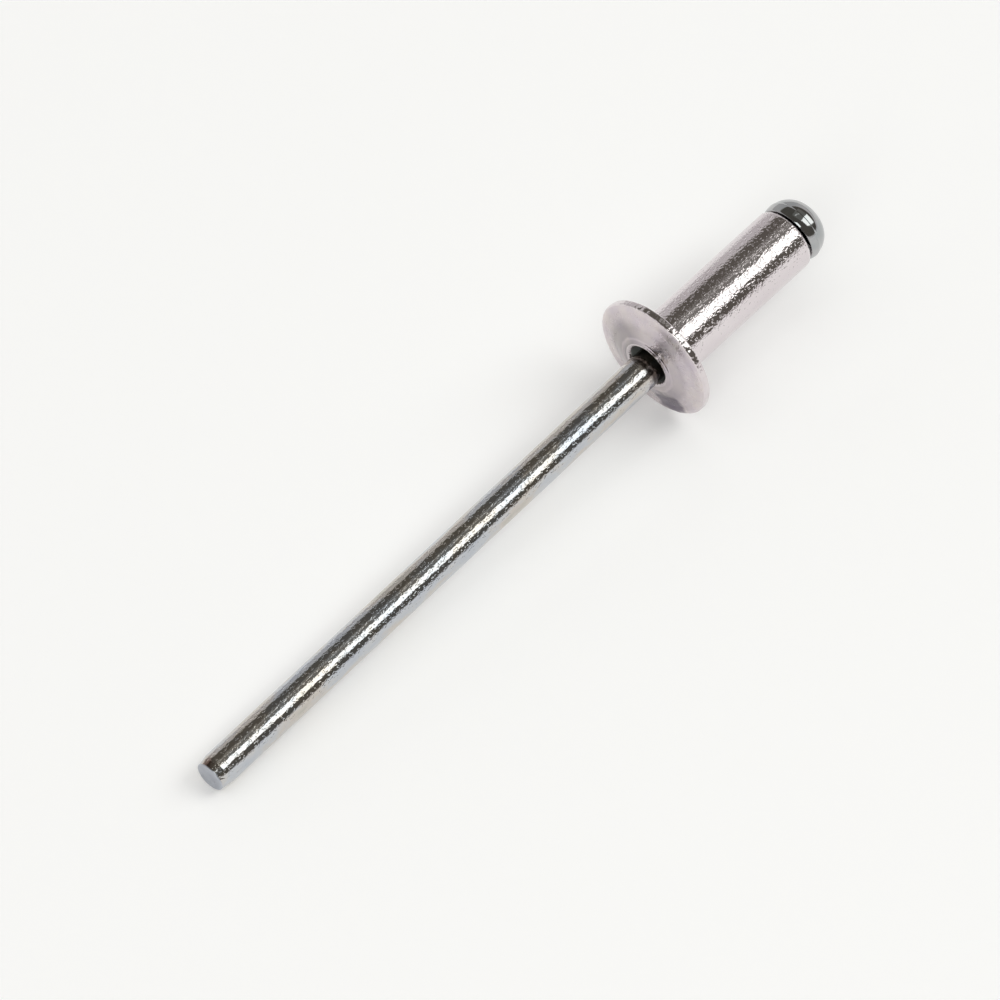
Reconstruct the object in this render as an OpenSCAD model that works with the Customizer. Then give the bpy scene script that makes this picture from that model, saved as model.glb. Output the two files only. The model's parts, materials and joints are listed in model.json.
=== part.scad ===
/* [Shank] */
// Outer diameter of the shank that goes into the drilled hole
shank_d = 3.2; // [3:0.1:4.4]
// Length of the shank from the flange's seat to its far end
shank_length = 8.9; // [6:0.1:20]
// Rounding of the shank's far end
shank_end_round = 0.14; // [0.04:0.02:0.2]
// Fillet between the shank and the flange's seat
seat_fillet = 0.12; // [0.04:0.02:0.4]

/* [Flange] */
// Outer diameter of the flange
flange_d = 6.35; // [5.6:0.05:12]
// Thickness of the flange at its rim, where the dome starts
rim_thickness = 0.37; // [0.3:0.01:0.7]
// Height of the domed flange at the hole, from its seat
flange_height = 0.86; // [0.8:0.01:1.4]
// Rounding of the rim's front and back corners
rim_round = 0.12; // [0.04:0.02:0.14]
// Rounding of the hole's mouth
mouth_round = 0.17; // [0.05:0.01:0.3]

/* [Stem] */
// Diameter of the drawn stem
stem_d = 1.68; // [1.3:0.02:1.9]
// Length of stem that stands out of the flange
stem_protrusion = 29.3; // [15:0.1:50]
// Length of the taper behind the sheared tip
tip_taper = 0.55; // [0.2:0.05:2]
// Depth of the taper at the tip, on the radius
tip_inset = 0.1; // [0.04:0.02:0.3]
// Rounding of the tip's edge
tip_round = 0.08; // [0.02:0.01:0.2]
// How much thinner the stem is inside the shank, on the radius
neck_relief = 0.02; // [0.01:0.01:0.1]
// Length of that thinner neck that shows in front of the flange
neck_showing = 0.4; // [0.2:0.1:2]
// Length over which the stem narrows to the neck
neck_taper = 0.6; // [0.2:0.1:2]

/* [Break groove] */
// Distance of the groove's middle from the head's underside
groove_distance = 1.8; // [1:0.1:5]
// Width of the groove at the stem's surface
groove_width = 0.5; // [0.2:0.05:1.5]
// Depth of the groove, on the radius
groove_depth = 0.25; // [0.05:0.05:0.5]

/* [Head] */
// Diameter of the head's cylindrical band
head_d = 3.15; // [2.8:0.05:3.5]
// Length of the band between the underside's rounding and the dome
head_band = 0.3; // [0.05:0.05:1]
// Rounding between the underside and the band
head_under_round = 0.14; // [0.04:0.02:0.3]
// Radius of the dome's shoulder
shoulder_round = 1.15; // [0.6:0.05:1.3]
// Radius of the dome's crown
crown_round = 2.2; // [1.8:0.1:4]

/* [Fit] */
// Clearance between stem and bore, on the radius
stem_clearance = 0.2; // [0.05:0.01:0.3]
// Share of that clearance that the leaning stem takes up at the hole's mouth
mouth_lean = 0.95; // [0:0.05:0.95]
// Share of it that the stem takes up on the other side, at the bore's far end
far_lean = 0.2; // [0:0.05:0.95]
// Play between the leaning head's lowest edge and the shank's end
seat_play = 0.01; // [0:0.005:0.1]

/* [Hidden] */
$fn = 96;

// Radii that several features share
shank_r = shank_d / 2;
flange_r = flange_d / 2;
stem_r = stem_d / 2;
head_r = head_d / 2;
bore_r = stem_r + stem_clearance;
mouth_r = bore_r + mouth_round;

// The flange's dome is a sphere through the rim's front corner and the crest around the hole
dome_z = (flange_r ^ 2 - mouth_r ^ 2 + rim_thickness ^ 2 - flange_height ^ 2)
    / (2 * (flange_height - rim_thickness));
dome_r = norm([flange_r, dome_z + rim_thickness]);
dome_centre = [0, dome_z];

// Centre of a rounding that blends into the dome from inside, and where it touches the dome
function dome_blend(radius, rounding) = [radius, dome_z - sqrt((dome_r - rounding) ^ 2 - radius ^ 2)];
function on_ray(from, through, distance) = from + distance * (through - from) / norm(through - from);
rim_blend = dome_blend(flange_r - rim_round, rim_round);
mouth_blend = dome_blend(mouth_r, mouth_round);

// The mandrel is drawn from its head's underside: the stem runs down and the head stands up
stem_length = stem_protrusion + flange_height + shank_length;
taper_angle = atan(tip_inset / tip_taper);
tip_ring = [
    stem_r - tip_inset - tip_round * (1 - sin(taper_angle)) / cos(taper_angle),
    tip_round - stem_length
];
under_ring = [head_r - head_under_round, head_under_round];
shoulder_centre = [head_r - shoulder_round, head_under_round + head_band];
crown_z = shoulder_centre[1] - sqrt((crown_round - shoulder_round) ^ 2 - shoulder_centre[0] ^ 2);
crown_centre = [0, crown_z];

// The loose mandrel leans in the bore: its tip sinks, and the top of its head touches the shank's end
bore_straight = shank_length + flange_height - mouth_round;
lean = atan(stem_clearance * (mouth_lean + far_lean) / bore_straight);
seat_z = shank_length + seat_play + under_ring[0] * sin(lean) + head_under_round * (1 - cos(lean));
seat_drop = -stem_clearance * far_lean - (seat_z - shank_length) * tan(lean);

// A point of the mandrel's section in the body's: [drop below the body's axis, distance from its seat]
function seated(drop, along) = [
    seat_drop + drop * cos(lean) - along * sin(lean),
    seat_z + drop * sin(lean) + along * cos(lean)
];

// The rivet lies on the flange's rim and on the ring where the stem's taper starts
rest_point = seated(stem_r, tip_taper - stem_length);
rest_span = rim_blend - rest_point;
tilt = atan(rest_span[0] / rest_span[1]) + asin(rim_round / norm(rest_span));
axis_height = rim_round + rim_blend[0] * cos(tilt) - rim_blend[1] * sin(tilt);

// How far it reaches along the floor, measured from the middle of the flange's seat
function along_floor(point) = point[1] * cos(tilt) + point[0] * sin(tilt);
reach_back = along_floor(seated(-tip_ring[0], tip_ring[1])) - tip_round;
reach_front = along_floor(seated(0, crown_z)) + crown_round;

// Lays what is drawn along +Z from the flange's seat down on the floor, centred over the origin
module lying() {
    translate([-(reach_back + reach_front) / 2, 0, axis_height])
        rotate([0, 90 - tilt, 0])
            children();
}

// Seats what is drawn from the head's underside in the rivet body, leaning as far as the bore lets it
module leaning() {
    translate([seat_drop, 0, seat_z])
        rotate([0, -lean, 0])
            children();
}

// A round corner of a section
module corner(centre, radius) {
    translate(centre)
        circle(r = radius);
}

// The part of a large circle that bulges out over the line between two points on it
module bulge(centre, radius, start, end) {
    intersection() {
        corner(centre, radius);
        polygon([
            start,
            on_ray(centre, start, 1.2 * radius),
            on_ray(centre, end, 1.2 * radius),
            end
        ]);
    }
}

// Half of the rivet body's section: radius along x, distance from the flange's seat along y
module body_section() {
    crest = on_ray(dome_centre, mouth_blend, dome_r);
    brow = on_ray(dome_centre, rim_blend, dome_r);
    difference() {
        union() {
            polygon([
                [bore_r, mouth_blend[1]],
                crest,
                brow,
                [flange_r, rim_blend[1]],
                [flange_r, -rim_round],
                [flange_r - rim_round, 0],
                [shank_r + seat_fillet, 0],
                [shank_r, seat_fillet],
                [shank_r, shank_length - shank_end_round],
                [shank_r - shank_end_round, shank_length],
                [bore_r, shank_length]
            ]);
            bulge(dome_centre, dome_r, crest, brow);
            corner(mouth_blend, mouth_round);
            corner(rim_blend, rim_round);
            corner([flange_r - rim_round, -rim_round], rim_round);
            corner([shank_r - shank_end_round, shank_length - shank_end_round], shank_end_round);
        }
        corner([shank_r + seat_fillet, seat_fillet], seat_fillet);
    }
}

// Half of the stem's section: sheared and tapered tip, thinner neck, break groove near the head
module stem_section() {
    neck_r = stem_r - neck_relief;
    neck_start = -shank_length - flange_height - neck_showing;
    groove_half = groove_width / 2;
    polygon([
        [0, -stem_length],
        [tip_ring[0], -stem_length],
        tip_ring + tip_round * [cos(taper_angle), -sin(taper_angle)],
        [stem_r, tip_taper - stem_length],
        [stem_r, neck_start],
        [neck_r, neck_start + neck_taper],
        [neck_r, -groove_distance - groove_half],
        [neck_r - groove_depth, -groove_distance],
        [neck_r, -groove_distance + groove_half],
        [neck_r, shoulder_centre[1]],
        [0, shoulder_centre[1]]
    ]);
    corner(tip_ring, tip_round);
}

// Half of the head's section: rounded underside, short band, and a dome of shoulder and crown
module head_section() {
    brow = on_ray(crown_centre, shoulder_centre, crown_round);
    polygon([
        [0, 0],
        [under_ring[0], 0],
        [head_r, under_ring[1]],
        [head_r, shoulder_centre[1]],
        shoulder_centre,
        brow,
        [0, crown_z + crown_round * cos(asin(brow[0] / crown_round))]
    ]);
    corner(under_ring, head_under_round);
    intersection() {
        corner(shoulder_centre, shoulder_round);
        translate(shoulder_centre)
            square(shoulder_round);
    }
    intersection() {
        corner(crown_centre, crown_round);
        polygon([
            shoulder_centre,
            on_ray(crown_centre, shoulder_centre, 1.2 * crown_round),
            [0, crown_z + 1.2 * crown_round],
            [0, shoulder_centre[1]]
        ]);
    }
}

// Hollow aluminium body with its domed flange
module rivet_body() {
    color([0.82, 0.79, 0.8])
        lying()
            rotate_extrude()
                body_section();
}

// Zinc-plated steel pin: stem and head in one piece
module mandrel() {
    color([0.6, 0.63, 0.65])
        lying()
            leaning()
                rotate_extrude()
                    union() {
                        stem_section();
                        head_section();
                    }
}

rivet_body();
mandrel();
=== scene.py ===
import json
import math

import bpy
import numpy as np
from mathutils import Matrix, Vector, noise


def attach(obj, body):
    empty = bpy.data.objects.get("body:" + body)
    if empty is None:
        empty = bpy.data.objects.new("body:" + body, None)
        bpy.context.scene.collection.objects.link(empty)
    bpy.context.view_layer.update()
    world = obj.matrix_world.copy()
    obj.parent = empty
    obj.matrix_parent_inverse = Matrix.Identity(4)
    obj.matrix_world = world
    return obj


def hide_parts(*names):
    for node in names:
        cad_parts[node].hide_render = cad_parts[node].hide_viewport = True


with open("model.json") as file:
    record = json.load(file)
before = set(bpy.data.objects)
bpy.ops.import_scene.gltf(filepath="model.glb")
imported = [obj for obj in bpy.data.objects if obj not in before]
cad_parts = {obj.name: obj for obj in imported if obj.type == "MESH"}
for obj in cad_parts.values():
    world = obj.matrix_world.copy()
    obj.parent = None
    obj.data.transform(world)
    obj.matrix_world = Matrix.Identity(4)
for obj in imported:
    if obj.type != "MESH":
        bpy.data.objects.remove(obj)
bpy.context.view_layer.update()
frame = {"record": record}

MM = 0.001

# Sizes of the rivet body, in millimetres
SHANK_R = 1.6
SHANK_LENGTH = 8.9
SHANK_END_ROUND = 0.14
SEAT_FILLET = 0.12
FLANGE_R = 3.175
RIM_THICKNESS = 0.37
FLANGE_HEIGHT = 0.86
RIM_ROUND = 0.12
MOUTH_ROUND = 0.17
BORE_R = 1.04
# The hole's mouth runs out into a short cone, this steep against the bore's axis
MOUTH_SINK_ANGLE = 36
# The bore's mesh is finer from here to the mouth
BORE_FINE_FROM = 0.4

# Sizes of the mandrel, in millimetres
STEM_R = 0.84
STEM_PROTRUSION = 29.3
STEM_LENGTH = STEM_PROTRUSION + FLANGE_HEIGHT + SHANK_LENGTH
TIP_TAPER = 0.55
TIP_INSET = 0.1
TIP_ROUND = 0.08
NECK_RELIEF = 0.02
NECK_SHOWING = 0.4
NECK_TAPER = 0.6
GROOVE_DISTANCE = 1.8
GROOVE_WIDTH = 0.5
GROOVE_DEPTH = 0.25
HEAD_R = 1.575
HEAD_UNDER_ROUND = 0.14
HEAD_BAND = 0.3
SHOULDER_ROUND = 1.15
CROWN_ROUND = 2.2

# The shank's end is worn rounder on the outside
END_WEAR = 0.26
# The head's underside clears the shank a little, and its edge swells over this length and depth
UNDER_LIFT = 0.015
EDGE_LENGTH = 0.40
EDGE_SWELL = 0.10
# The gap under the head opens towards this angle from the top, by this much. Its spread says how far it goes
# round, and from the stem outwards it grows over its run
UNDER_GAP_ANGLE = 115
UNDER_GAP = 0.07
UNDER_GAP_SPREAD = 0.75
UNDER_GAP_RUN = 0.3
# The crease where the head's dome starts, how sharp its edge is, and where it fades towards the crown
CREASE = 0.02
CREASE_EDGE = 0.01
CREASE_FADE_R = 1.2
# The head is smooth inside this radius
CROWN_CALM_R = 0.6

# The raised hub round the hole, next to the flange's flatter outer ring, which ends near the rim
HUB_R = 1.45
HUB_SLOPE = 0.7
HUB_HEIGHT = 0.05
RING_END_R = 2.6
RING_END_SLOPE = 0.4
# The shallow ring pressed into the hub round the hole
PRESS_R = 1.42
PRESS_WIDTH = 0.05
PRESS_DEPTH = 0.018

# The shear squeezed the tip unevenly: its taper is short at one angle from the top and long opposite
SHEAR_LENGTH = 0.62
SHEAR_SWING = 0.30
SHEAR_ANGLE = 10
SHEAR_WAVE = 0.05
SHEAR_WAVE_SIZE = 0.5
SHEAR_WAVE_SEED = 2.0
# The stretch of stem behind the taper that was squeezed too
SHEAR_RUNOUT = 0.5

# Soft unevenness of the surfaces: depth, size of its features, seed, and how dense it is along the axis
DOME_WAVES = (0.012, 1.5, 8.0, 1.0)
RIM_WAVES = (0.02, 0.45, 3.0, 1.0)
SHANK_WAVES = (0.008, 0.9, 5.0, 0.5)
STEM_WAVES = (0.004, 0.8, 9.0, 0.4)
HEAD_WAVES = (0.03, 1.5, 4.0, 1.0)
EDGE_WAVES = (0.008, 0.8, 4.0, 1.0)

# Marks on the shank: distance from the seat, angle from the top towards the front, depth, reach both ways
DENTS = [
    (2.05, 54, 0.03, 0.11, 0.06),
    (1.90, 50, 0.02, 0.07, 0.05),
    (3.9, 46, 0.015, 0.09, 0.05),
    (7.6, 40, 0.012, 0.06, 0.05),
    (5.1, 12, 0.012, 0.05, 0.08),
]
# Scratches on the shank: distance and angle at both ends, depth, width
SCRATCHES = [
    (5.80, 50, 5.45, 64, 0.012, 0.045),
    (5.66, 49, 5.40, 58, 0.008, 0.04),
    (4.9, 40, 5.5, 44, 0.009, 0.04),
    (3.1, 8, 3.25, 30, 0.012, 0.045),
    (7.5, 70, 7.9, 84, 0.010, 0.045),
]
# The crease that the shear left beside the tip: distance from the end and angle at both ends, depth, width
TIP_CREASE = (0.02, 51, 1.06, 101, 0.014, 0.04)
# A mark ends this many of its reaches or widths away from its middle
FAR = 3.0

# Places in the mandrel's own axes: the stain on top of the tip's edge, the small dent in its end face, and
# the middle of the painted shade on the stem where it enters the hole
TIP_STAIN = (0.77, -0.22, 0.2 - STEM_LENGTH)
TIP_DENT = (-0.1, 0.25, -STEM_LENGTH)
NECK_PAINTED_SHADE = (0.0, 0.0, -SHANK_LENGTH - FLANGE_HEIGHT + 0.2)
# Places in the body's own axes: the painted shadow on the flange's lower front, and the middle of the painted
# shade on its upper back
PAINTED_FLANGE_SHADOW = (-2.2, 1.15, -0.55)
PAINTED_FLANGE_SHADE = (0.6, -1.59, -0.7)

# Rings on the flange: the painted reflection in lighter and darker rings, the darker painted shade on its
# upper back, and the turned rings' roughness, each by the share of the flange's radius
PAINTED_RING_REFLECTIONS = [
    (0.38, 0.84),
    (0.44, 0.86),
    (0.46, 1.0),
    (0.48, 0.98),
    (0.50, 0.80),
    (0.64, 0.80),
    (0.72, 0.94),
    (1.0, 1.0),
]
PAINTED_SHADE_RINGS = [(0.40, 0.62), (0.47, 0.80), (0.50, 0.70), (0.70, 0.68), (0.78, 0.80), (0.95, 0.92)]
RING_ROUGHNESS = [(0.0, 0.05), (0.56, 0.07), (0.66, 0.30), (1.0, 0.32)]
# How far the turned rings wander, as a share of the flange's radius
RING_WANDER = 0.05

# Patches of zinc from bluish to straw-coloured, by noise
ZINC_PATCHES = [
    (0.30, (0.48, 0.51, 0.57)),
    (0.46, (0.55, 0.565, 0.59)),
    (0.58, (0.59, 0.55, 0.51)),
    (0.70, (0.50, 0.485, 0.44)),
]

# Nearly all noise lies between these values
NOISE_LOW = 0.3
NOISE_HIGH = 0.7

WHITE = (1.0, 1.0, 1.0)
WARM_WHITE = (0.98, 1.0, 0.97)

# Divisions around each piece, and the angles in degrees from which an edge is sharp
BODY_AROUND = 300
MANDREL_AROUND = 200
BODY_SHARP = 40
MANDREL_SHARP = 35

# Places of the materials on each piece
SHANK_SLOT, FLANGE_SLOT, BORE_SLOT, RIM_SLOT = range(4)
BODY_SLOT_OF = {
    "bore": BORE_SLOT,
    "sink": RIM_SLOT,
    "mouth": RIM_SLOT,
    "dome": FLANGE_SLOT,
    "rim": RIM_SLOT,
    "seat": FLANGE_SLOT,
    "fillet": SHANK_SLOT,
    "shank": SHANK_SLOT,
    "shank_end": RIM_SLOT,
    "end": RIM_SLOT,
}
STEM_SLOT, TIP_SLOT, HEAD_SLOT = range(3)
MANDREL_SLOT_OF = {
    "end": TIP_SLOT,
    "tip": TIP_SLOT,
    "taper": STEM_SLOT,
    "stem": STEM_SLOT,
    "neck": STEM_SLOT,
    "under": HEAD_SLOT,
    "edge": HEAD_SLOT,
    "dome": HEAD_SLOT,
    "pole": HEAD_SLOT,
}


# Profiles: the half section of each piece


def line(a, b, count):
    """Points from a to b, without the last one."""
    t = np.linspace(0, 1, count, endpoint=False)[:, None]
    return np.array(a) * (1 - t) + np.array(b) * t


def arc(centre, radius, start, end, count):
    """Points on an arc between two angles in degrees, without the last one."""
    t = np.radians(np.linspace(start, end, count, endpoint=False))
    return np.array(centre) + radius * np.stack([np.cos(t), np.sin(t)], 1)


def heading(centre, point):
    """Angle in degrees from a centre to a point."""
    return math.degrees(math.atan2(point[1] - centre[1], point[0] - centre[0]))


def joined(stretches):
    """One run of points from named stretches, and for each point the name of its stretch."""
    points = np.concatenate([p for _, p in stretches])
    names = [name for name, p in stretches for _ in p]
    return points, names


def body_profile():
    """Section of the rivet body: radius, and distance from the flange's seat towards the head."""
    mouth_r = BORE_R + MOUTH_ROUND
    dome_z = (FLANGE_R ** 2 - mouth_r ** 2 + RIM_THICKNESS ** 2 - FLANGE_HEIGHT ** 2) / (
        2 * (FLANGE_HEIGHT - RIM_THICKNESS)
    )
    dome_r = math.hypot(FLANGE_R, dome_z + RIM_THICKNESS)
    centre = (0, dome_z)

    def blend(radius, rounding):
        return (radius, dome_z - math.sqrt((dome_r - rounding) ** 2 - radius ** 2))

    mouth = blend(mouth_r, MOUTH_ROUND)
    rim = blend(FLANGE_R - RIM_ROUND, RIM_ROUND)
    back_corner = (FLANGE_R - RIM_ROUND, -RIM_ROUND)
    fillet = (SHANK_R + SEAT_FILLET, SEAT_FILLET)
    to_mouth = heading(centre, mouth)
    to_rim = heading(centre, rim)
    wear = (SHANK_R - END_WEAR, SHANK_LENGTH - END_WEAR)
    sink_from = -180 + MOUTH_SINK_ANGLE
    sink_edge = (
        mouth[0] + MOUTH_ROUND * math.cos(math.radians(sink_from)),
        mouth[1] + MOUTH_ROUND * math.sin(math.radians(sink_from)),
    )
    sink_z = sink_edge[1] + (sink_edge[0] - BORE_R) / math.tan(math.radians(MOUTH_SINK_ANGLE))
    return joined(
        [
            ("bore", line((BORE_R, SHANK_LENGTH), (BORE_R, BORE_FINE_FROM), count=14)),
            ("bore", line((BORE_R, BORE_FINE_FROM), (BORE_R, sink_z), count=8)),
            ("sink", line((BORE_R, sink_z), sink_edge, count=8)),
            ("mouth", arc(mouth, MOUTH_ROUND, sink_from, to_mouth, count=12)),
            ("dome", arc(centre, dome_r, to_mouth, to_rim, count=80)),
            ("rim", arc(rim, RIM_ROUND, to_rim, 0, count=10)),
            ("rim", line((FLANGE_R, rim[1]), (FLANGE_R, -RIM_ROUND), count=4)),
            ("rim", arc(back_corner, RIM_ROUND, 0, 90, count=10)),
            ("seat", line((back_corner[0], 0), (fillet[0], 0), count=10)),
            ("fillet", arc(fillet, SEAT_FILLET, 270, 180, count=8)),
            ("shank", line((SHANK_R, SEAT_FILLET), (SHANK_R, wear[1]), count=138)),
            ("shank_end", arc(wear, END_WEAR, 0, 90, count=12)),
            ("end", line((wear[0], SHANK_LENGTH), (BORE_R, SHANK_LENGTH), count=5)),
        ]
    )


def mandrel_profile():
    """Section of the mandrel: radius, and distance from the head's underside."""
    lean = math.atan2(TIP_INSET, TIP_TAPER)
    tip_r = STEM_R - TIP_INSET - TIP_ROUND * (1 - math.sin(lean)) / math.cos(lean)
    tip = (tip_r, TIP_ROUND - STEM_LENGTH)
    tip_edge = (tip[0] + TIP_ROUND * math.cos(lean), tip[1] - TIP_ROUND * math.sin(lean))
    taper_end = TIP_TAPER - STEM_LENGTH
    squeezed = taper_end + SHEAR_RUNOUT
    neck_r = STEM_R - NECK_RELIEF
    neck_start = -SHANK_LENGTH - FLANGE_HEIGHT - NECK_SHOWING
    neck_end = neck_start + NECK_TAPER
    groove = -GROOVE_DISTANCE
    groove_r = neck_r - GROOVE_DEPTH
    half = GROOVE_WIDTH / 2
    under = (HEAD_R - EDGE_SWELL, UNDER_LIFT + EDGE_LENGTH)
    shoulder = (HEAD_R - SHOULDER_ROUND, HEAD_UNDER_ROUND + HEAD_BAND)
    crown_z = shoulder[1] - math.sqrt((CROWN_ROUND - SHOULDER_ROUND) ** 2 - shoulder[0] ** 2)
    crown = (0, crown_z)
    to_shoulder = heading(crown, shoulder)
    return joined(
        [
            ("end", line((0, -STEM_LENGTH), (tip_r, -STEM_LENGTH), count=22)),
            ("tip", arc(tip, TIP_ROUND, -90, math.degrees(-lean), count=8)),
            ("taper", line(tip_edge, (STEM_R, taper_end), count=18)),
            ("taper", line((STEM_R, taper_end), (STEM_R, squeezed), count=12)),
            ("stem", line((STEM_R, squeezed), (STEM_R, neck_start), count=220)),
            ("neck", line((STEM_R, neck_start), (neck_r, neck_end), count=8)),
            ("neck", line((neck_r, neck_end), (neck_r, groove - half), count=24)),
            ("neck", line((neck_r, groove - half), (groove_r, groove), count=4)),
            ("neck", line((groove_r, groove), (neck_r, groove + half), count=4)),
            ("neck", line((neck_r, groove + half), (neck_r, UNDER_LIFT), count=8)),
            ("under", line((neck_r, UNDER_LIFT), (under[0], UNDER_LIFT), count=10)),
            ("edge", under + (arc((0, 0), 1, -90, 0, count=14) * (EDGE_SWELL, EDGE_LENGTH))),
            ("edge", line((HEAD_R, under[1]), (HEAD_R, shoulder[1]), count=3)),
            ("dome", arc(shoulder, SHOULDER_ROUND, 0, to_shoulder, count=72)),
            ("dome", arc(crown, CROWN_ROUND, to_shoulder, 90, count=30)),
            ("pole", np.array([[0, crown_z + CROWN_ROUND]])),
        ]
    )


# Surface detail: how far a point of a piece sits below its section, in millimetres


def smooth(t):
    """0 below 0, 1 above 1, and a smooth step between."""
    t = min(1.0, max(0.0, t))
    return t * t * (3 - 2 * t)


def ripple(x, y, z, size, seed):
    """Smooth noise between about -1 and 1 with features of a given size."""
    return noise.noise(Vector((x / size + seed, y / size, z / size)))


def waves(x, y, z, unevenness):
    """Soft unevenness between 0 and its depth."""
    depth, size, seed, density = unevenness
    return depth * (0.5 + 0.5 * ripple(x, y, z * density, size, seed))


def dent(mark, along, theta, radius):
    """Depth of one dent at a place on a round surface."""
    at, angle, depth, reach_along, reach_across = mark
    turn = math.remainder(theta - math.radians(angle), 2 * math.pi) * radius
    gap = ((along - at) / reach_along) ** 2 + (turn / reach_across) ** 2
    return depth * math.exp(-gap) if gap < FAR ** 2 else 0.0


def scratch(mark, along, theta, radius):
    """Depth of one scratch at a place on a round surface."""
    at, angle, to, to_angle, depth, width = mark
    start = Vector((at, math.radians(angle) * radius))
    run = Vector((to, math.radians(to_angle) * radius)) - start
    offset = Vector((along, theta * radius)) - start
    share = min(1.0, max(0.0, offset.dot(run) / run.length_squared))
    gap = (offset - share * run).length / width
    return depth * math.exp(-gap * gap) if gap < FAR else 0.0


def body_shape(theta, r, z, stretch):
    """Detail of the rivet body."""
    x, y = r * math.cos(theta), r * math.sin(theta)
    if stretch == "dome":
        hub = smooth((r - HUB_R) / HUB_SLOPE)
        press = PRESS_DEPTH * math.exp(-(((r - PRESS_R) / PRESS_WIDTH) ** 2))
        ring = HUB_HEIGHT * hub * (1 - smooth((r - RING_END_R) / RING_END_SLOPE))
        return press + ring + waves(x, y, z, DOME_WAVES)
    if stretch == "rim":
        return waves(x, y, z, RIM_WAVES)
    if stretch in ("shank", "shank_end"):
        sunk = waves(x, y, z, SHANK_WAVES)
        for mark in DENTS:
            sunk += dent(mark, z, theta, SHANK_R)
        return sunk + sum(scratch(mark, z, theta, SHANK_R) for mark in SCRATCHES)
    return 0.0


def sheared(theta, r, z):
    """The tip's uneven taper in place of the even one in the section, and the crease beside it."""
    x, y = r * math.cos(theta), r * math.sin(theta)
    length = (
        SHEAR_LENGTH
        - SHEAR_SWING * math.cos(theta - math.radians(SHEAR_ANGLE))
        + SHEAR_WAVE * ripple(x, y, 0, SHEAR_WAVE_SIZE, SHEAR_WAVE_SEED)
    )
    wanted = TIP_INSET * max(0.0, 1 - (z + STEM_LENGTH - TIP_ROUND) / length)
    return wanted - max(0.0, STEM_R - r) + scratch(TIP_CREASE, z + STEM_LENGTH, theta, STEM_R)


def under_head(theta, r, z, facing_down):
    """The gap under the head that opens at one side, on a surface that faces down by a share."""
    x, y = r * math.cos(theta), r * math.sin(theta)
    from_opening = math.cos(theta - math.radians(UNDER_GAP_ANGLE))
    open_by = UNDER_GAP * smooth(0.5 + UNDER_GAP_SPREAD * from_opening)
    growth = smooth((r - STEM_R) / UNDER_GAP_RUN)
    return open_by * facing_down * growth + waves(x, y, z, EDGE_WAVES) * (1 - facing_down)


def mandrel_shape(theta, r, z, stretch):
    """Detail of the mandrel."""
    x, y = r * math.cos(theta), r * math.sin(theta)
    if stretch == "taper":
        return sheared(theta, r, z)
    if stretch == "stem":
        return waves(x, y, z, STEM_WAVES)
    if stretch == "under":
        return under_head(theta, r, z, 1.0)
    if stretch == "edge":
        swell = (r - HEAD_R + EDGE_SWELL) / EDGE_SWELL
        return under_head(theta, r, z, math.sqrt(max(0.0, 1 - swell ** 2)))
    if stretch == "dome":
        lumps = waves(x, y, z, HEAD_WAVES) * smooth(r / CROWN_CALM_R)
        return lumps + CREASE * smooth((HEAD_R - r) / CREASE_EDGE) * smooth(r / CREASE_FADE_R)
    return 0.0


# Turned meshes


def outward(points, closed):
    """Unit normals of a section that runs with its material on the left."""
    if closed:
        step = np.roll(points, -1, 0) - np.roll(points, 1, 0)
    else:
        step = np.gradient(points, axis=0)
    step /= np.linalg.norm(step, axis=1)[:, None]
    return np.stack([step[:, 1], -step[:, 0]], 1)


def turned(name, points, stretches, closed, around, shape):
    """A mesh turned from a section about its own Z axis, and for each face the name of its stretch.

    A closed section makes a hollow ring; an open one starts and ends on the axis, in a pole. The shape gives
    how far each point sits below the section.
    """
    normals = outward(points, closed)
    theta = np.arange(around) * 2 * math.pi / around
    ends = 0 if closed else 1
    inner = range(ends, len(points) - ends)
    rows = []
    for i in inner:
        r, z = points[i]
        nr, nz = normals[i]
        sunk = np.array([shape(t, r, z, stretches[i]) for t in theta])
        rr = r - sunk * nr
        zz = z - sunk * nz
        rows.append(np.stack([rr * np.cos(theta), rr * np.sin(theta), zz], 1))
    vertices = np.concatenate(rows) * MM
    here = np.arange(around)
    beside = np.roll(here, -1)
    count = len(inner)
    faces, face_stretches = [], []
    for i in range(count - ends):
        j = (i + 1) % count
        low, high = i * around, j * around
        faces += np.stack([low + here, low + beside, high + beside, high + here], 1).tolist()
        face_stretches += [stretches[ends + i]] * around
    if not closed:
        first_pole = len(vertices)
        last_pole = first_pole + 1
        top = (count - 1) * around
        poles = np.array([[0, 0, points[0][1]], [0, 0, points[-1][1]]]) * MM
        vertices = np.concatenate([vertices, poles])
        faces += [[first_pole, int(b), int(a)] for a, b in zip(here, beside)]
        face_stretches += [stretches[0]] * around
        faces += [[last_pole, int(top + a), int(top + b)] for a, b in zip(here, beside)]
        face_stretches += [stretches[-1]] * around
    mesh = bpy.data.meshes.new(name)
    mesh.from_pydata(vertices.tolist(), [], faces)
    return mesh, face_stretches


def axes_of(axis, origin):
    """The placement of a turned piece: +Z along its axis from origin, +X up as far as it can point."""
    z = Vector(axis).normalized()
    x = (Vector((0, 0, 1)) - z * z.z).normalized()
    y = z.cross(x)
    matrix = Matrix((x, y, z)).transposed().to_4x4()
    matrix.translation = origin
    return matrix


def in_scene(name, data):
    """A new object of a mesh, lamp or camera."""
    thing = bpy.data.objects.new(name, data)
    bpy.context.scene.collection.objects.link(thing)
    return thing


def turned_piece(name, profile, closed, around, shape, materials, slot_of, sharp, place):
    """An object turned from a profile, with its place in its vertices and a material on each stretch."""
    mesh, face_stretches = turned(name, *profile, closed, around, shape)
    for material in materials:
        mesh.materials.append(material)
    mesh.polygons.foreach_set("material_index", [slot_of[s] for s in face_stretches])
    mesh.polygons.foreach_set("use_smooth", [True] * len(face_stretches))
    mesh.set_sharp_from_angle(angle=math.radians(sharp))
    mesh.transform(place)
    return in_scene(name, mesh)


# Materials


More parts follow.
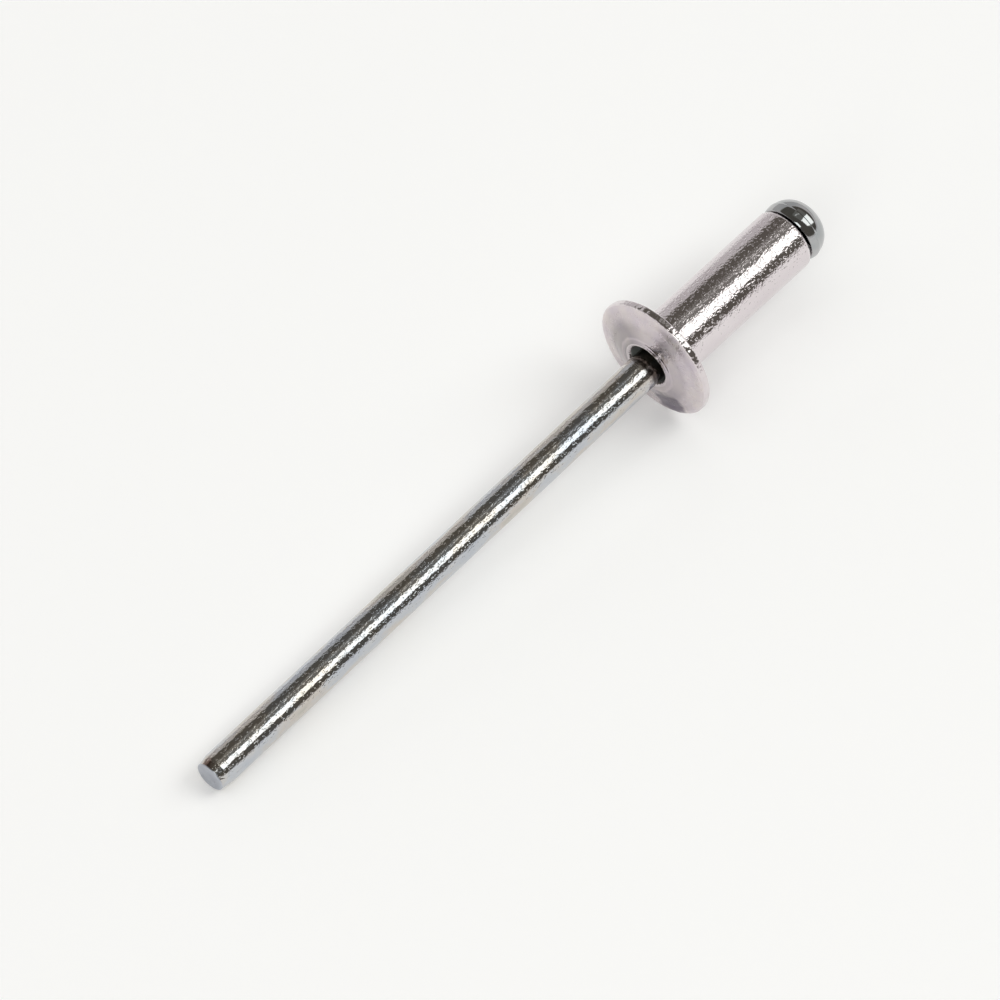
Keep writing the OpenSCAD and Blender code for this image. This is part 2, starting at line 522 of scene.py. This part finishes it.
class Tree:
    """Short calls to build a node tree."""

    MIX_A = 6
    MIX_B = 7
    MIX_RESULT = 2

    def __init__(self, tree):
        self.tree = tree

    def add(self, kind, **values):
        node = self.tree.nodes.new(kind)
        for key, value in values.items():
            setattr(node, key, value)
        return node

    def link(self, a, b):
        self.tree.links.new(a, b)

    def feed(self, socket, value):
        """Sets a socket to a number or colour, or links another socket to it."""
        if isinstance(value, (int, float)):
            socket.default_value = value
        elif isinstance(value, tuple):
            socket.default_value = (*value, 1)
        else:
            self.link(value, socket)

    def math(self, operation, a, b):
        node = self.add("ShaderNodeMath", operation=operation)
        self.feed(node.inputs[0], a)
        self.feed(node.inputs[1], b)
        return node.outputs[0]

    def mix(self, factor, a, b, mode="MIX"):
        node = self.add("ShaderNodeMix", data_type="RGBA", blend_type=mode)
        self.feed(node.inputs[0], factor)
        self.feed(node.inputs[self.MIX_A], a)
        self.feed(node.inputs[self.MIX_B], b)
        return node.outputs[self.MIX_RESULT]

    def mapped(self, value, start, end, low=0.0, high=1.0):
        """A value carried from the range start to end over to low to high, and held beyond it."""
        node = self.add("ShaderNodeMapRange")
        self.feed(node.inputs["Value"], value)
        self.feed(node.inputs["From Min"], start)
        self.feed(node.inputs["From Max"], end)
        self.feed(node.inputs["To Min"], low)
        self.feed(node.inputs["To Max"], high)
        return node.outputs[0]


class Metal(Tree):
    """The node tree of one metal, in the axes of the piece that it is on."""

    def __init__(self, name, place):
        self.material = bpy.data.materials.new(name)
        self.material.use_nodes = True
        super().__init__(self.material.node_tree)
        self.tree.nodes.clear()
        out = self.add("ShaderNodeOutputMaterial")
        self.shader = self.add("ShaderNodeBsdfPrincipled")
        self.link(self.shader.outputs[0], out.inputs["Surface"])
        own = self.add("ShaderNodeMapping", vector_type="TEXTURE")
        own.inputs["Location"].default_value = place.translation
        own.inputs["Rotation"].default_value = place.to_euler("XYZ")
        self.link(self.add("ShaderNodeTexCoord").outputs["Object"], own.inputs["Vector"])
        self.place = own.outputs[0]

    def vector_math(self, operation, a, b=None):
        """A vector operation on a socket and a fixed vector."""
        node = self.add("ShaderNodeVectorMath", operation=operation)
        self.link(a, node.inputs[0])
        if b is not None:
            node.inputs[1].default_value = b
        return node

    def stretched(self, scale):
        """The place on the piece in its own axes, scaled by a factor per axis."""
        return self.vector_math("MULTIPLY", self.place, scale).outputs[0]

    def noise(self, size, detail=2.0, rough=0.5, along=1.0, shift=0.0):
        """Noise with features of a given size in millimetres, drawn out along the axis by a factor."""
        scale = 1 / (size * MM)
        place = self.stretched((scale, scale, scale / along))
        if shift:
            place = self.vector_math("ADD", place, (shift, shift, shift)).outputs[0]
        node = self.add("ShaderNodeTexNoise")
        self.link(place, node.inputs["Vector"])
        node.inputs["Scale"].default_value = 1.0
        node.inputs["Detail"].default_value = detail
        node.inputs["Roughness"].default_value = rough
        return node.outputs["Fac"]

    def ramp(self, value, stops):
        """Colour or grey by value; stops are (position, colour or grey)."""
        node = self.add("ShaderNodeValToRGB")
        elements = node.color_ramp.elements
        while len(elements) < len(stops):
            elements.new(1.0)
        for element, (at, colour) in zip(elements, stops):
            element.position = at
            if isinstance(colour, (int, float)):
                colour = (colour, colour, colour)
            element.color = (*colour, 1)
        self.link(value, node.inputs[0])
        return node.outputs[0]

    def drift(self, low, high, size, **values):
        """A colour or grey that drifts between two values with noise of a given size."""
        return self.ramp(self.noise(size, **values), [(NOISE_LOW, low), (NOISE_HIGH, high)])

    def tinted(self, colour, tint):
        """A colour multiplied by another one, or by a grey."""
        return self.mix(1.0, colour, tint, "MULTIPLY")

    def bump(self, height, depth, below=None):
        """A bump of a given depth in millimetres on top of another one."""
        node = self.add("ShaderNodeBump")
        node.inputs["Strength"].default_value = 1.0
        node.inputs["Distance"].default_value = depth * MM
        self.link(height, node.inputs["Height"])
        if below is not None:
            self.link(below, node.inputs["Normal"])
        return node.outputs[0]

    def axis_distance(self):
        """Distance from the piece's own axis, in millimetres."""
        return self.vector_math("LENGTH", self.stretched((1 / MM, 1 / MM, 0))).outputs["Value"]

    def distance_from(self, point):
        """Distance in millimetres from a point given in the piece's own axes."""
        return self.vector_math("DISTANCE", self.stretched((1 / MM, 1 / MM, 1 / MM)), point).outputs["Value"]

    def frayed(self, distance, wander, size, **values):
        """A distance with noise of a given size added, which frays what is drawn by it."""
        return self.math("ADD", distance, self.math("MULTIPLY", self.noise(size, **values), wander))

    def finished(self, colour, rough, normal, metallic=1.0):
        """The material, once its shader has its colour, roughness and normal."""
        self.shader.inputs["Metallic"].default_value = metallic
        self.link(colour, self.shader.inputs["Base Color"])
        self.link(rough, self.shader.inputs["Roughness"])
        self.link(normal, self.shader.inputs["Normal"])
        return self.material


def aluminium_shank(place):
    """Bright blotchy aluminium with shallow pits and a granular shine."""
    m = Metal("aluminium_shank", place)
    pits = m.ramp(m.noise(0.16, detail=1.0, shift=3.0), [(0.34, 0.0), (0.42, 1.0)])
    normal = m.bump(m.noise(0.45, detail=1.0, along=2.0, shift=7.0), depth=0.007)
    normal = m.bump(m.noise(0.10, detail=1.0, along=1.3), depth=0.011, below=normal)
    normal = m.bump(pits, depth=0.008, below=normal)
    colour = m.drift((0.70, 0.64, 0.66), (0.77, 0.72, 0.735), 1.4, detail=3.0, along=2.5, shift=11.0)
    rough = m.drift(0.05, 0.10, 0.35, detail=3.0, shift=5.0)
    return m.finished(colour, rough, normal)


def aluminium_flange(place):
    """Pinkish aluminium with turned rings, painted reflection in rings, painted shade on one side and one
    painted shadow patch.
    """
    m = Metal("aluminium_flange", place)
    across = m.math("MULTIPLY", m.axis_distance(), 1 / FLANGE_R)
    wander = m.math("SUBTRACT", m.noise(0.5, detail=1.0, shift=1.0), 0.5)
    wavy = m.math("ADD", across, m.math("MULTIPLY", wander, RING_WANDER))
    normal = m.bump(m.noise(0.8, shift=4.0), depth=0.014)
    normal = m.bump(m.noise(0.12, detail=1.5, rough=0.55), depth=0.009, below=normal)
    blotches = m.noise(1.1, detail=4.0, shift=9.0)
    colour = m.ramp(blotches, [(0.35, (0.64, 0.575, 0.625)), (0.65, (0.74, 0.675, 0.665))])
    # Painted reflection: lighter and darker rings round the hole
    colour = m.tinted(colour, m.ramp(wavy, PAINTED_RING_REFLECTIONS))
    # Painted shadow: a dark patch on the flange's lower front, in place of the floor's shadow mirrored there
    from_painted_shadow = m.math("MULTIPLY", m.distance_from(PAINTED_FLANGE_SHADOW), 0.60)
    from_painted_shadow = m.frayed(from_painted_shadow, wander=0.6, size=0.35, detail=3.0, shift=5.0)
    colour = m.tinted(colour, m.ramp(from_painted_shadow, [(0.66, (0.36, 0.345, 0.40)), (0.92, 1.0)]))
    # Painted shade: darker rings on the flange's upper back, fading out away from it
    from_painted_shade = m.math("MULTIPLY", m.distance_from(PAINTED_FLANGE_SHADE), 0.5)
    outside_painted_shade = m.ramp(from_painted_shade, [(0.45, 0.0), (0.95, 1.0)])
    colour = m.tinted(colour, m.mix(outside_painted_shade, m.ramp(wavy, PAINTED_SHADE_RINGS), WHITE))
    blotchy = m.drift(0.8, 1.0, 0.5, detail=3.0, shift=2.0)
    rough = m.math("MULTIPLY", m.ramp(wavy, RING_ROUGHNESS), blotchy)
    return m.finished(colour, rough, normal)


def aluminium_rim(place):
    """Lumpy aluminium of the rim, the mouth and the worn shank's end."""
    m = Metal("aluminium_rim", place)
    normal = m.bump(m.noise(0.24, detail=1.5, rough=0.6), depth=0.05)
    colour = m.drift((0.66, 0.60, 0.62), (0.78, 0.73, 0.74), 0.7, detail=3.0, shift=6.0)
    rough = m.drift(0.07, 0.14, 0.3, shift=3.0)
    return m.finished(colour, rough, normal)


def aluminium_bore(place):
    """Dull oxidised aluminium inside the bore."""
    m = Metal("aluminium_bore", place)
    normal = m.bump(m.noise(0.2, detail=3.0), depth=0.006)
    colour = m.drift((0.48, 0.51, 0.49), (0.62, 0.65, 0.62), 0.8, detail=3.0)
    rough = m.drift(0.35, 0.5, 0.3, shift=2.0)
    return m.finished(colour, rough, normal, metallic=0.3)


def zinc_stem(place):
    """Drawn steel with bright zinc in patches, a brown stain at the tip and painted shade on the stem at the
    hole.
    """
    m = Metal("zinc_stem", place)
    specks = m.ramp(m.noise(0.13, detail=1.0, along=1.4, shift=4.0), [(0.33, 0.0), (0.41, 1.0)])
    normal = m.bump(m.noise(0.26, detail=1.0, along=1.6, shift=6.0), depth=0.005)
    normal = m.bump(m.noise(0.09, detail=1.0, along=1.8), depth=0.007, below=normal)
    normal = m.bump(specks, depth=0.007, below=normal)
    colour = m.ramp(m.noise(1.0, detail=4.0, rough=0.6, along=3.0, shift=8.0), ZINC_PATCHES)
    from_stain = m.frayed(m.distance_from(TIP_STAIN), wander=0.3, size=0.2, shift=2.0)
    colour = m.tinted(colour, m.ramp(from_stain, [(0.3, (0.42, 0.32, 0.29)), (0.5, 1.0)]))
    # Painted shade: the stem darkens where it enters the hole
    from_painted_neck_shade = m.math("MULTIPLY", m.distance_from(NECK_PAINTED_SHADE), 0.5)
    from_painted_neck_shade = m.frayed(from_painted_neck_shade, wander=0.1, size=0.3, shift=9.0)
    colour = m.tinted(colour, m.ramp(from_painted_neck_shade, [(0.57, (0.20, 0.18, 0.165)), (0.63, 1.0)]))
    rough = m.drift(0.05, 0.10, 0.4, detail=3.0, along=3.0, shift=1.0)
    return m.finished(colour, rough, normal)


def zinc_tip(place):
    """Matt zinc on the sheared end face, with one small dent."""
    m = Metal("zinc_tip", place)
    normal = m.bump(m.noise(0.12, detail=3.0, rough=0.6), depth=0.004)
    dented = m.ramp(m.distance_from(TIP_DENT), [(0.04, 0.0), (0.10, 1.0)])
    normal = m.bump(dented, depth=0.05, below=normal)
    colour = m.drift((0.42, 0.44, 0.49), (0.51, 0.53, 0.575), 0.5, detail=3.0)
    rough = m.drift(0.28, 0.4, 0.3, detail=3.0, shift=3.0)
    return m.finished(colour, rough, normal)


def zinc_head(place):
    """Polished darker zinc of the head."""
    m = Metal("zinc_head", place)
    normal = m.bump(m.noise(0.9, detail=1.5, shift=3.0), depth=0.02)
    normal = m.bump(m.noise(0.12, detail=3.0, rough=0.6), depth=0.0015, below=normal)
    colour = m.drift((0.39, 0.41, 0.42), (0.49, 0.485, 0.49), 0.8, detail=3.0, shift=5.0)
    rough = m.drift(0.05, 0.09, 0.4, detail=3.0, shift=1.0)
    return m.finished(colour, rough, normal)


# The two pieces, placed by the record's mounts

mounts = {m["name"]: m for m in frame["record"]["mounts"]}
shank_axis = Vector(mounts["shank"]["axis"])
shank_middle = (SEAT_FILLET + SHANK_LENGTH - SHANK_END_ROUND) / 2
body_seat = Vector(mounts["shank"]["pos_m"]) - shank_axis * shank_middle * MM
stem_axis = -Vector(mounts["stem"]["axis"])
stem_middle = (-(SHANK_LENGTH + FLANGE_HEIGHT + NECK_SHOWING) - STEM_LENGTH + TIP_TAPER) / 2
head_seat = Vector(mounts["stem"]["pos_m"]) - stem_axis * stem_middle * MM

body_place = axes_of(shank_axis, body_seat)
body = turned_piece(
    "rivet_body_skin",
    body_profile(),
    closed=True,
    around=BODY_AROUND,
    shape=body_shape,
    materials=[
        aluminium_shank(body_place),
        aluminium_flange(body_place),
        aluminium_bore(body_place),
        aluminium_rim(body_place),
    ],
    slot_of=BODY_SLOT_OF,
    sharp=BODY_SHARP,
    place=body_place,
)
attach(body, "root")
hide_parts("rivet_body")

mandrel_place = axes_of(stem_axis, head_seat)
mandrel = turned_piece(
    "mandrel_skin",
    mandrel_profile(),
    closed=False,
    around=MANDREL_AROUND,
    shape=mandrel_shape,
    materials=[zinc_stem(mandrel_place), zinc_tip(mandrel_place), zinc_head(mandrel_place)],
    slot_of=MANDREL_SLOT_OF,
    sharp=MANDREL_SHARP,
    place=mandrel_place,
)
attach(mandrel, "root")
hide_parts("mandrel")


# Floor: matt white paper that looks near white, also in the metal, and keeps the rivet's shadow

FLOOR_HALF = 3.0
PAPER_COLOUR = (0.9, 0.9, 0.9)
PAPER_ROUGHNESS = 0.9
PAPER_SHINE = 0.1
PAPER_LIFT = 0.15

floor_mesh = bpy.data.meshes.new("floor")
corners = [(x * FLOOR_HALF, y * FLOOR_HALF, 0) for x, y in ((-1, -1), (1, -1), (1, 1), (-1, 1))]
floor_mesh.from_pydata(corners, [], [(0, 1, 2, 3)])
floor = in_scene("floor", floor_mesh)

paper = bpy.data.materials.new("floor_paper")
paper.use_nodes = True
nodes = Tree(paper.node_tree)
shader = nodes.tree.nodes["Principled BSDF"]
shader.inputs["Base Color"].default_value = (*PAPER_COLOUR, 1)
shader.inputs["Roughness"].default_value = PAPER_ROUGHNESS
shader.inputs["Specular IOR Level"].default_value = PAPER_SHINE
shader.inputs["Emission Color"].default_value = (*WHITE, 1)
path = nodes.add("ShaderNodeLightPath")
seen = nodes.math("MAXIMUM", path.outputs["Is Camera Ray"], path.outputs["Is Glossy Ray"])
seen = nodes.math("MAXIMUM", seen, path.outputs["Is Transmission Ray"])
nodes.link(nodes.math("MULTIPLY", seen, PAPER_LIFT), shader.inputs["Emission Strength"])
floor_mesh.materials.append(paper)


# Room: a white backdrop round the horizon, higher but dimmer behind than in front, and a dark ceiling

BACKDROP_TOP_FRONT = math.sin(math.radians(6.5))
BACKDROP_TOP_BEHIND = math.sin(math.radians(33.5))
BACKDROP_LIGHT_FRONT = 0.80
BACKDROP_LIGHT_BEHIND = 0.60
CEILING_LIGHT = 0.115
BACKDROP_HUE = (1.0, 0.985, 0.98)
CEILING_HUE = (1.0, 0.93, 0.81)
# The backdrop changes from front to behind between these, and its upper edge blurs between these
FRONT_TO_BEHIND = (-0.6, 0.6)
EDGE_BLUR = (-0.02, 0.03)

world = bpy.data.worlds.new("room")
bpy.context.scene.world = world
world.use_nodes = True
nodes = Tree(world.node_tree)
nodes.tree.nodes.clear()
split = nodes.add("ShaderNodeSeparateXYZ")
nodes.link(nodes.add("ShaderNodeTexCoord").outputs["Generated"], split.inputs[0])
towards_behind = split.outputs["Y"]
top = nodes.mapped(towards_behind, *FRONT_TO_BEHIND, BACKDROP_TOP_FRONT, BACKDROP_TOP_BEHIND)
above = nodes.math("SUBTRACT", split.outputs["Z"], top)
backdrop = nodes.mapped(towards_behind, *FRONT_TO_BEHIND, BACKDROP_LIGHT_FRONT, BACKDROP_LIGHT_BEHIND)
background = nodes.add("ShaderNodeBackground")
nodes.link(nodes.mapped(above, *EDGE_BLUR, backdrop, CEILING_LIGHT), background.inputs["Strength"])
hue = nodes.mix(nodes.mapped(above, *EDGE_BLUR), BACKDROP_HUE, CEILING_HUE)
nodes.link(hue, background.inputs["Color"])
surface = nodes.add("ShaderNodeOutputWorld")
nodes.link(background.outputs[0], surface.inputs["Surface"])


# Lamps


def softbox(name, along, around, distance, length, height, radiance, colour):
    """An area light that faces the rivet, with its length beside the rivet and the brightness of its face.

    The angles are in degrees: along leans towards the head, around goes from the top towards the front. The
    distance, length and height are in metres.
    """
    data = bpy.data.lights.new(name, "AREA")
    data.shape = "RECTANGLE"
    data.size, data.size_y = length, height
    data.energy = radiance * math.pi * length * height
    data.color = colour
    lamp = in_scene(name, data)
    lean, turn = math.radians(along), math.radians(around)
    towards = Vector((math.sin(lean), -math.cos(lean) * math.sin(turn), math.cos(lean) * math.cos(turn)))
    beside = (Vector((1, 0, 0)) - towards * towards.x).normalized()
    rotation = Matrix((beside, towards.cross(beside), towards)).transposed().to_4x4()
    lamp.matrix_world = Matrix.Translation(towards * distance) @ rotation
    return lamp


# Four lamps make the bright bands on the metal: the key lamp's, a faint glow round it, a thin line beside it,
# and one from the tip's end
softbox("key", along=33, around=33.5, distance=1.0, length=0.95, height=0.50, radiance=1.8, colour=WARM_WHITE)
softbox("glow", along=30, around=18, distance=1.1, length=1.0, height=1.3, radiance=0.10, colour=WARM_WHITE)
softbox("strip", along=24, around=-3, distance=1.0, length=0.5, height=0.05, radiance=0.6, colour=WARM_WHITE)
softbox("back", along=-42, around=30, distance=1.0, length=0.80, height=0.36, radiance=2.0, colour=WARM_WHITE)
# Two soft lamps light the paper evenly and keep the shadow soft; the polished metal doesn't mirror them
overhead = softbox(
    "overhead", along=-5, around=0, distance=1.2, length=2.4, height=2.4, radiance=0.67, colour=WHITE
)
overhead.visible_glossy = False
side = softbox("side", along=27, around=33, distance=1.0, length=0.5, height=0.5, radiance=0.6, colour=WHITE)
side.visible_glossy = False


# Camera: its angles are given in degrees, and its target, distance, lens and sensor in millimetres

AZIMUTH = math.radians(-47.8837)
ELEVATION = math.radians(51.7228)
TARGET = Vector((-1.083, 0.0, 2.6107)) * MM
DISTANCE = 398.534 * MM
LENS = 317.6
SENSOR = 36
# The nearest and the farthest that it sees, in metres
NEAREST = 0.01
FARTHEST = 20

camera_data = bpy.data.cameras.new("camera")
camera_data.sensor_width = SENSOR
camera_data.lens = LENS
camera_data.clip_start = NEAREST
camera_data.clip_end = FARTHEST
camera = in_scene("camera", camera_data)
back = Vector(
    (
        math.sin(AZIMUTH) * math.cos(ELEVATION),
        -math.cos(AZIMUTH) * math.cos(ELEVATION),
        math.sin(ELEVATION),
    )
)
camera.location = TARGET + back * DISTANCE
camera.rotation_mode = "QUATERNION"
camera.rotation_quaternion = back.to_track_quat("Z", "Y")
bpy.context.scene.camera = camera
bpy.context.scene.view_settings.view_transform = "Standard"
